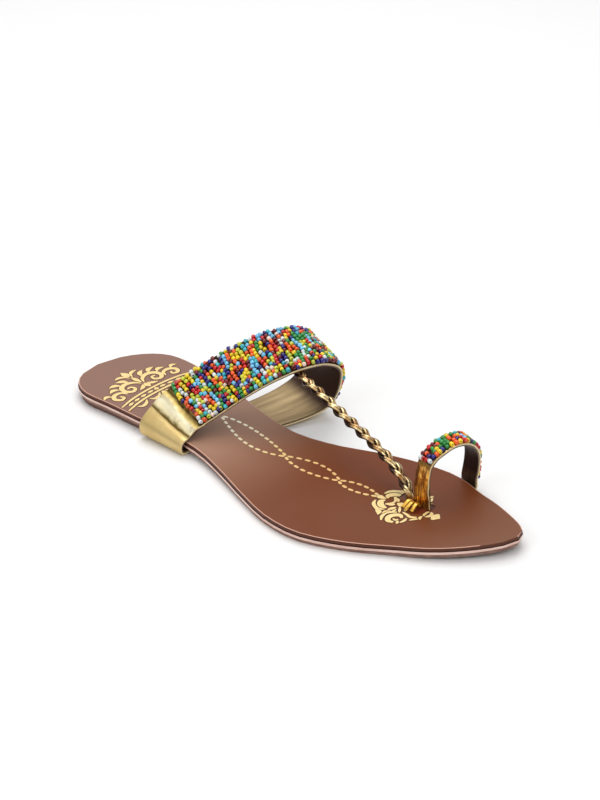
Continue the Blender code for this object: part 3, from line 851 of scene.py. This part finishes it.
def beadPlaces(band, sizes, seed):
    chance = random.Random(seed)
    start, end, width = sizes["beadsFrom"], sizes["beadsTo"], sizes["width"]
    centre = sizes["wall"] / 2 + bead["radius"] + sizes["beadLift"]
    strings = int((end - start) * band.length / (2 * bead["radius"] * bead["apart"]))
    front, rear = width / 2 - sizes["beadMargin"], -width / 2 + sizes["rearMargin"]
    slack = min(0.5, width / bead["slackBand"])
    places = []
    for i in range(strings):
        share = (i + 0.5) / strings
        at = start + (end - start) * share
        inner = front - (2.0 * bead["radius"] if at > sizes["edgeRowFrom"] else 0.0)
        count = round((inner - rear) / bead["length"])
        slip = chance.uniform(-slack, slack)
        for j in range(count):
            beside = rear + (inner - rear) * (j + 0.5) / count
            beside += slip * bead["length"] * math.sin(math.pi * (j + 0.5) / count) ** 0.4
            down = sizes["firstString"] * (beside / width + 0.5) * (1 - share) ** 5
            turn = bead["swayTurn"] * i + bead["swayAcross"] * beside
            sway = bead["sway"] / band.length * math.sin(turn)
            point, rule, out = band.frameAt(at - down + sway)
            places.append((point + rule * beside + out * centre, rule, out))
    edgeStart = max(start, sizes["edgeRowFrom"])
    for i in range(int((end - edgeStart) * band.length / bead["length"])):
        at = edgeStart + (i + 0.5) * bead["length"] / band.length
        beside, step = front - bead["radius"], 0.5 * bead["length"] / band.length
        run = band.place(at + step, beside, centre) - band.place(at - step, beside, centre)
        places.append((band.place(at, beside, centre), run.normalized(), band.frameAt(at)[2]))
    return places


strapBeads = threadBeads("strapSeedBeads", beadPlaces(strapLine, strap, 3), 11)
finishPiece(strapBeads, "strap_beads", beadGlass)
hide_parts("strap_beads")
ringBeads = threadBeads("ringSeedBeads", beadPlaces(ringLine, ring, 4), 5)
finishPiece(ringBeads, "ring_beads", beadGlass)
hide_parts("ring_beads")
say("beads")


# Plaited cord: three strands that pass over and under each other
cord = {
    "width": 5.8 * mm, "pitch": 25 * mm, "strand": (1.38 * mm, 0.88 * mm), "climb": 1.0 * mm,
    "roll": 0.5, "at": 0.512, "held": 8 * mm, "taper": 6 * mm, "taperTo": 0.72,
    "clearance": 0.3 * mm, "perPitch": 28, "sides": 16, "groove": 0.3, "grooveWidth": 0.25,
    "grooveDark": 0.6, "edgeDark": 6, "shadeFrom": (0.95 * mm, -0.1 * mm),
    "points": (       # x, distance from the heel and height
        (0.0154, 0.1287, 0.0312), (0.0139, 0.1397, 0.0286), (0.0124, 0.1505, 0.0260),
        (0.0110, 0.1612, 0.0234), (0.0096, 0.1717, 0.0207), (0.0082, 0.1815, 0.0175),
        (0.0070, 0.1884, 0.0143), (0.0061, 0.1935, 0.0106), (0.0054, 0.1966, 0.0074),
        (0.0051, 0.1977, 0.0042),
    ),
}


def cordRoute():
    point, rule, out = strapLine.frameAt(cord["at"])
    under = point - out * (strap["wall"] / 2 + cord["clearance"] + cord["width"] / 2)
    held = [under + rule * (strap["width"] / 2 - cord["held"]), under + rule * strap["width"] / 2]
    return held + [Vector((x, yAt(fromHeel), z)) for x, fromHeel, z in cord["points"]]


def plaitedCord():
    points = cordRoute()
    reach = runLengths(points)
    total, sides = reach[-1], cord["sides"]
    count = int(total / cord["pitch"] * cord["perPitch"])
    halfWide, halfThick = cord["strand"]
    near = 0.5 * mm

    def middle(at):
        return Vector(pointAt(reach, points, at))

    corners, faces, strandShades = [], [], []
    for i in range(count + 1):
        at = total * i / count
        run = (middle(min(total, at + near)) - middle(max(0.0, at - near))).normalized()
        side = run.cross(Vector((0, 0, 1))).normalized()
        up = side.cross(run)
        taper = min(1.0, (total - at) / cord["taper"])
        narrow = cord["taperTo"] + (1 - cord["taperTo"]) * taper
        for strand in range(3):
            turn = math.tau * (at / cord["pitch"] + strand / 3)
            roll = cord["roll"] * math.cos(turn)
            for k in range(sides):
                angle = math.tau * k / sides
                groove = hump(math.cos(angle), 0.0, cord["grooveWidth"])
                flat = (halfWide * math.cos(angle),
                        halfThick * math.sin(angle) * (1 - cord["groove"] * groove))
                wide = (cord["width"] / 2 - halfWide) * math.cos(turn)
                wide += flat[0] * math.cos(roll) + flat[1] * math.sin(roll)
                high = cord["climb"] * math.sin(2 * turn)
                high += flat[1] * math.cos(roll) - flat[0] * math.sin(roll)
                corners.append(middle(at) + (side * wide + up * high) * narrow)
                # Painted shade at the strand's edges, along its groove and where it lies low
                dark = max(abs(math.cos(angle)) ** cord["edgeDark"], cord["grooveDark"] * groove,
                           ramp(high, *cord["shadeFrom"]))
                strandShades.append(dark * taper * min(1.0, at / cord["taper"]))
                if i < count:
                    here = (i * 3 + strand) * sides
                    beyond = here + 3 * sides
                    after = (k + 1) % sides
                    faces.append((here + k, here + after, beyond + after, beyond + k))
    for end in (0, count):
        for strand in range(3):
            faces.append([(end * 3 + strand) * sides + k for k in range(sides)])
    mesh = bpy.data.meshes.new("plaitedCord")
    mesh.from_pydata(corners, [], faces)
    mesh.attributes.new("plaitDepth", "FLOAT", "POINT").data.foreach_set("value", strandShades)
    piece = newPiece("plaitedCord", mesh)
    editWhole(piece, bpy.ops.mesh.normals_make_consistent, inside=False)
    smooth(piece, 60)
    return piece


plait = plaitedCord()
finishPiece(plait, "braided_cord", braidLeather)
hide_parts("braided_cord")
say("plaited cord")


# Beside the post: the ends of leather folded over, and the leather that fills the slot
fold = {
    "width": 1.6 * mm, "wall": 0.7 * mm, "back": 0.24, "spread": (-1.75, 0.0, 1.75), "fan": 0.06,
    "shorter": (0.9, 1.0, 0.86), "ruling": (0.1, 0.0), "cells": (20, 3),
    "rows": ((2.0, 0.5), (2.8, 2.2), (4.4, 2.8), (6.4, 2.1), (8.6, 0.75)),  # out and up, mm
}
for aside, share in zip(fold["spread"], fold["shorter"]):
    stations = []
    for out, height in fold["rows"]:
        y = yAt(ring["fromHeel"] - ring["width"] * fold["back"])
        y += aside * (1 + fold["fan"] * out) * mm
        x = ring["postX"] - out * share * mm
        stations.append((Vector((x, y, ring["top"] + height * mm)), ruling(*fold["ruling"])))
    foldedEnd = bandSheet("foldedEnd", Band(stations), fold["width"], fold["wall"], 0.0, plain,
                          fold["cells"], tabLeather, tabLeather)
    finishPiece(foldedEnd, "cord_tab")
    if aside == 0.0:
        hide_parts("cord_tab")

filling = {"place": (0.0046, -0.0743, 0.0045), "size": (5.1 * mm, 17.4 * mm, 0.7 * mm)}
deselectAll()
bpy.ops.mesh.primitive_cube_add(size=1.0)
slotFilling = bpy.context.object
slotFilling.name = "slotFilling"
slotFilling.data.transform(Matrix.Translation(filling["place"])
                           @ Matrix.Diagonal((*filling["size"], 1)))
finishPiece(slotFilling, "insole", slotLeather)
say("post's foot")


# Gold print: strokes with their own widths, laid on the insole as thin foil.
# The strokes' own points and widths, the outline and the thinnest half-width are millimetres.
printing = {
    "shadeLift": 0.04 * mm, "foilLift": 0.1 * mm, "thickness": 0.03 * mm,
    "dropFrom": 20 * mm, "onTop": (4.7 * mm, 12 * mm),    # heights where the insole's top lies
    "thinnest": 0.03,
    "outline": 0.42,                  # painted shadow round each ornament stroke
}


def stroke(mesh, points, widths, steps, boldness=1.0, halo=0.0):
    reach = runLengths(points)
    count = max(2, steps * (len(points) - 1))
    near = reach[-1] * 0.01
    previous = None
    for i in range(count + 1):
        value = reach[-1] * i / count
        lowX, lowY = pointAt(reach, points, max(0.0, value - near))
        highX, highY = pointAt(reach, points, min(reach[-1], value + near))
        run = Vector((highX - lowX, highY - lowY)).normalized()
        side = Vector((-run.y, run.x))
        wide = max(printing["thinnest"], through(reach, widths, value) * boldness / 2)
        half = (wide + halo) * mm
        middle = Vector(pointAt(reach, points, value)) * mm
        pair = [mesh.verts.new((*(middle + side * half * s), printing["dropFrom"]))
                for s in (1, -1)]
        if previous:
            mesh.faces.new((previous[0], previous[1], pair[1], pair[0]))
        previous = pair


def printPiece(name, draw, offset, material):
    mesh = bmesh.new()
    draw(mesh)
    bmesh.ops.recalc_face_normals(mesh, faces=mesh.faces)
    for face in mesh.faces:
        if face.normal.z < 0:
            face.normal_flip()
    data = bpy.data.meshes.new(name)
    mesh.to_mesh(data)
    mesh.free()
    piece = newPiece(name, data)
    lay = piece.modifiers.new("lay", "SHRINKWRAP")
    lay.target = nodes["insole"]
    lay.wrap_method = "PROJECT"
    lay.use_project_z, lay.use_negative_direction, lay.use_positive_direction = True, True, False
    lay.offset = offset
    applyModifiers(piece)
    editWhole(piece, bpy.ops.mesh.select_all, action="DESELECT")
    lowest, highest = printing["onTop"]
    for vertex in piece.data.vertices:
        vertex.select = not lowest < vertex.co.z < highest
    bpy.ops.object.mode_set(mode="EDIT")
    bpy.ops.mesh.delete(type="VERT")
    bpy.ops.object.mode_set(mode="OBJECT")
    foil = piece.modifiers.new("foil", "SOLIDIFY")
    foil.thickness, foil.offset = printing["thickness"], 0.0
    applyModifiers(piece)
    finishPiece(piece, "insole", material)


def onSole(x, fromHeel):
    return x + sole["middleX"] / mm, yAt(fromHeel * mm) / mm


# The stitch pattern: three lenses of dashes, one after another down the sole
chain = {
    "dash": 2.8, "gap": 1.4, "width": 1.45, "endWidth": 0.55, "steps": 60, "fullness": 0.8,
    "lenses": (   # start, end, outer bow, inner bow: each x and distance from the heel
        ((1.0, 84.0), (-3.2, 131.3), (-8.2, 111.0), (3.1, 104.0)),
        ((-3.2, 131.3), (-1.8, 163.8), (-6.6, 146.0), (2.4, 148.5)),
        ((-1.8, 163.8), (0.2, 186.0), (-4.1, 173.5), (2.3, 174.5)),
    ),
}


def drawChain(mesh):
    for start, end, outer, inner in chain["lenses"]:
        for bow in (outer, inner):
            share = (bow[1] - start[1]) / (end[1] - start[1])
            base = start[0] + share * (end[0] - start[0])
            line = []
            for i in range(chain["steps"] + 1):
                t = i / chain["steps"]
                warped = t ** (math.log(0.5) / math.log(share))
                swell = math.sin(math.pi * warped) ** chain["fullness"] if 0 < t < 1 else 0.0
                x = start[0] + t * (end[0] - start[0]) + (bow[0] - base) * swell
                line.append(onSole(x, start[1] + t * (end[1] - start[1])))
            reach = runLengths(line)
            pairs = max(1, round(reach[-1] / (chain["dash"] + chain["gap"])))
            step = reach[-1] / pairs
            for k in range(pairs):
                low = (k + 0.5) * step - chain["dash"] / 2
                points = [pointAt(reach, line, low + chain["dash"] * i / 4) for i in range(5)]
                wide, narrow = chain["width"], chain["width"] * chain["endWidth"]
                stroke(mesh, points, (narrow, wide, wide, wide, narrow), 1)


# Ornaments: half of each is drawn beside its axis and mirrored
def mirrored(mesh, ornament, place, halo):
    for points, widths in ornament["strokes"]:
        for side in (1, -1):
            if side < 0 and all(abs(x) < 0.01 for x, _ in points):
                continue
            stroke(mesh, [place(side * x, y) for x, y in points], widths, 5,
                   ornament["boldness"], halo)


postOrnament = {
    "top": (0.3, 185.0), "lean": 6.7, "boldness": 0.95,
    "strokes": (
        (((0, -0.8), (0, 1.3), (0, 5.0)), (0.6, 2.9, 0.5)),
        (((3.4, 1.6), (6.2, 2.6), (8.1, 4.8), (9.2, 7.0)), (0.8, 1.8, 1.9, 2.0)),
        (((9.6, 6.6), (10.3, 8.2), (12.8, 9.7)), (1.4, 2.8, 0.4)),
        (((1.0, 5.2), (2.5, 4.3), (4.3, 4.9), (5.9, 6.9), (6.1, 9.4)), (0.9, 2.6, 3.1, 2.9, 1.0)),
        (((3.7, 7.2), (2.8, 8.2), (2.6, 9.4), (1.3, 10.8)), (1.0, 1.8, 2.0, 0.8)),
        (((7.0, 10.7), (5.2, 11.6), (3.2, 12.6)), (0.6, 2.0, 1.0)),
        (((0, 11.0), (0, 13.0), (0, 15.2)), (0.8, 3.7, 0.8)),
        (((5.9, 16.2), (4.0, 15.1), (2.0, 13.8)), (0.6, 1.4, 0.9)),
        (((3.5, 17.9), (2.0, 16.7), (0.3, 15.9)), (0.6, 1.4, 1.2)),
        (((15.7, 13.4), (12.8, 11.9), (9.8, 11.9), (7.3, 13.5), (6.3, 15.3)),
         (0.7, 1.7, 1.2, 1.4, 0.8)),
        (((14.0, 18.7), (14.3, 16.3), (11.8, 14.7), (8.9, 15.7), (7.6, 17.9), (9.0, 19.8)),
         (1.3, 2.4, 2.7, 2.6, 2.4, 1.2)),
        (((14.1, 20.7), (13.0, 20.2), (12.0, 19.8)), (0.7, 1.5, 0.8)),
        (((12.6, 21.3), (10.4, 21.9), (8.0, 21.6)), (0.7, 1.5, 0.8)),
        (((4.7, 17.4), (5.3, 19.8), (6.2, 22.2), (4.9, 24.8)), (1.0, 1.5, 1.7, 1.2)),
        (((8.7, 23.5), (7.1, 24.6), (5.7, 25.9)), (0.6, 1.4, 1.2)),
        (((5.7, 27.0), (4.3, 26.2), (2.7, 26.1)), (0.6, 1.7, 0.8)),
        (((2.2, 26.6), (1.1, 26.2), (0, 26.2)), (0.8, 1.3, 1.3)),
        (((2.5, 27.5), (1.3, 28.5), (0, 29.0)), (0.5, 1.8, 1.7)),
        (((0, 29.4), (0, 31.0), (0, 33.8)), (1.2, 6.0, 0.3)),
        (((7.9, 6.4), (8.2, 8.0), (7.3, 9.4)), (0.5, 1.3, 0.5)),
        (((7.0, 12.3), (8.8, 10.6), (11.0, 10.6)), (0.5, 1.2, 0.4)),
        (((1.8, 8.2), (0.9, 9.3), (0, 9.4)), (0.5, 1.4, 1.0)),
        (((11.7, 16.9), (11.9, 18.5), (10.8, 19.2)), (0.6, 1.5, 0.6)),
        (((4.4, 13.4), (5.6, 13.6), (6.6, 12.9)), (0.5, 1.1, 0.5)),
    ),
}

# The heel carries a plain row of traditional scrolls and leaves
heelOrnament = {
    "top": (-3.5, 16.0), "lean": 3.0, "boldness": 1.15,
    "strokes": (
        (((0, 0), (0, 3.2), (0, 6.4)), (0.3, 3.2, 0.6)),
        (((0.9, 7.6), (2.2, 4.8), (4.6, 3.4), (7.2, 3.6)), (0.5, 1.4, 1.7, 0.5)),
        (((0, 7.6), (0, 11.0), (0, 14.6)), (0.8, 2.2, 0.8)),
        (((0.9, 15.6), (3.2, 12.2), (7.4, 10.6), (11.2, 12.4), (12.0, 16.4), (9.4, 18.8),
          (6.6, 17.2), (7.4, 14.6), (9.4, 14.8)),
         (0.6, 1.7, 2.2, 2.3, 2.1, 1.8, 1.5, 1.2, 1.0)),
        (((4.4, 10.4), (6.0, 7.4), (9.0, 6.0)), (0.5, 2.4, 0.4)),
        (((9.4, 10.2), (11.6, 7.8), (15.0, 7.6)), (0.5, 2.4, 0.4)),
        (((12.9, 12.6), (15.2, 10.8), (18.4, 11.8)), (0.5, 2.2, 0.4)),
        (((13.0, 18.8), (14.6, 15.4), (18.6, 15.0), (21.0, 18.0), (19.2, 20.8), (16.6, 19.8),
          (17.4, 17.8)), (0.6, 1.6, 2.0, 2.0, 1.7, 1.3, 1.0)),
        (((20.2, 14.8), (22.2, 13.2), (24.8, 14.4)), (0.5, 2.0, 0.4)),
        (((1.4, 17.2), (3.2, 19.2), (6.0, 20.2)), (0.6, 2.0, 0.5)),
        (((0, 16.6), (0, 18.6), (0, 21.2)), (0.6, 3.2, 0.6)),
        (((0, 22.8), (8, 23.1), (16, 24.2), (24.5, 26.4)), (1.2, 1.2, 1.2, 0.8)),
        (((0, 27.6), (8, 27.9), (16, 29.0), (24.5, 31.2)), (1.2, 1.2, 1.2, 0.8)),
        (((0, 23.9), (0, 25.2), (0, 26.5)), (0.6, 2.4, 0.6)),
        (((2.4, 25.2), (4.2, 25.3), (6.0, 25.4)), (0.5, 1.6, 0.5)),
        (((7.4, 25.5), (9.2, 25.7), (11.0, 25.9)), (0.5, 1.6, 0.5)),
        (((12.4, 26.0), (14.2, 26.3), (16.0, 26.6)), (0.5, 1.6, 0.5)),
        (((17.4, 26.9), (19.2, 27.3), (21.0, 27.8)), (0.5, 1.6, 0.5)),
        (((0, 29.0), (0, 31.0), (0, 34.0)), (0.6, 3.0, 0.4)),
        (((2.0, 29.4), (4.6, 31.6), (8.0, 31.8), (9.4, 30.0)), (0.6, 1.6, 1.5, 0.5)),
        (((11.2, 29.8), (13.6, 32.0), (17.0, 32.8), (18.8, 31.2)), (0.6, 1.6, 1.5, 0.5)),
    ),
}


def ornamentDrawer(ornament, halo):
    lean = math.radians(ornament["lean"])
    topX, topFromHeel = ornament["top"]

    def place(x, y):
        return onSole(topX + x * math.cos(lean) + y * math.sin(lean),
                      topFromHeel - x * math.sin(lean) + y * math.cos(lean))

    return lambda mesh: mirrored(mesh, ornament, place, halo)


printPiece("stitchPrint", drawChain, printing["foilLift"], printFoil)
for name, ornament in (("postPrint", postOrnament), ("heelPrint", heelOrnament)):
    printPiece(name + "Shade", ornamentDrawer(ornament, printing["outline"]),
               printing["shadeLift"], printShade)
    printPiece(name, ornamentDrawer(ornament, 0.0), printing["foilLift"], printFoil)
say("gold print")


# Floor, light and camera
studio = {
    "floorSize": 12.0, "floor": linear(246, 246, 246), "world": 0.75,
    "sky": ((0.0, 0.9), (0.5, 0.35), (0.56, 0.1), (0.68, 0.5), (0.85, 1.0), (1.0, 1.0)),
    "lights": (   # name, place, aim, size, watts
        ("overhead", (0.35, 0.4, 1.1), (0.0, 0.0, 0.0), 1.0, 7.5),
        ("left", (-0.9, 0.1, 0.6), (0.0, 0.0, 0.02), 0.6, 2.0),
        ("front", (-0.2, -0.95, 0.8), (0.0, 0.0, 0.02), 0.6, 2.0),
    ),
}
view = {
    "azimuth": -45.1, "elevation": 28.5, "roll": -0.9, "distance": 0.98,
    "target": (0.0434, 0.0366, 0.0), "focalPixels": 2000, "framePixels": 800, "sensor": 36.0,
}


def buildStudio():
    deselectAll()
    bpy.ops.mesh.primitive_plane_add(size=studio["floorSize"])
    floor = bpy.context.object
    floor.name = "studioFloor"
    finish = Finish("paleFloor", colour=studio["floor"], roughness=0.55, specular=0.3)
    floor.data.materials.append(finish.material)
    world = bpy.data.worlds.new("studioWorld")
    bpy.context.scene.world = world
    world.use_nodes = True
    tree = world.node_tree
    background = tree.nodes["Background"]
    background.inputs["Strength"].default_value = studio["world"]
    coords = tree.nodes.new("ShaderNodeTexCoord")
    apart = tree.nodes.new("ShaderNodeSeparateXYZ")
    rampNode = tree.nodes.new("ShaderNodeValToRGB")
    fillRamp(rampNode.color_ramp, [(place, (grey,) * 3 + (1.0,)) for place, grey in studio["sky"]])
    half = tree.nodes.new("ShaderNodeMath")
    half.operation = "MULTIPLY_ADD"         # from -1 to 1 below and above becomes 0 to 1
    half.inputs[1].default_value, half.inputs[2].default_value = 0.5, 0.5
    tree.links.new(coords.outputs["Generated"], apart.inputs[0])
    tree.links.new(apart.outputs["Z"], half.inputs[0])
    tree.links.new(half.outputs[0], rampNode.inputs[0])
    tree.links.new(rampNode.outputs[0], background.inputs["Color"])
    for name, place, aim, size, watts in studio["lights"]:
        lamp = bpy.data.lights.new(name, "AREA")
        lamp.energy, lamp.size = watts, size
        light = bpy.data.objects.new(name, lamp)
        light.location = place
        light.rotation_euler = (Vector(aim) - Vector(place)).to_track_quat("-Z", "Y").to_euler()
        bpy.context.scene.collection.objects.link(light)


def buildCamera():
    azimuth, elevation, roll = (math.radians(view[key]) for key in ("azimuth", "elevation", "roll"))
    back = Vector((math.sin(azimuth) * math.cos(elevation),
                   -math.cos(azimuth) * math.cos(elevation), math.sin(elevation)))
    level = (-back).cross(Vector((0, 0, 1))).normalized()
    upright = level.cross(-back)
    right = math.cos(roll) * level + math.sin(roll) * upright
    up = -math.sin(roll) * level + math.cos(roll) * upright
    lens = bpy.data.cameras.new("studioCamera")
    lens.sensor_width = view["sensor"]
    lens.lens = view["focalPixels"] / view["framePixels"] * view["sensor"]
    lens.clip_start, lens.clip_end = 0.01, 50.0
    camera = bpy.data.objects.new("studioCamera", lens)
    matrix = Matrix((right, up, back)).transposed().to_4x4()
    matrix.translation = Vector(view["target"]) + back * view["distance"]
    camera.matrix_world = matrix
    bpy.context.scene.collection.objects.link(camera)
    bpy.context.scene.camera = camera


buildStudio()
buildCamera()
bpy.context.scene.view_settings.view_transform = "Standard"
deselectAll()
say("studio")
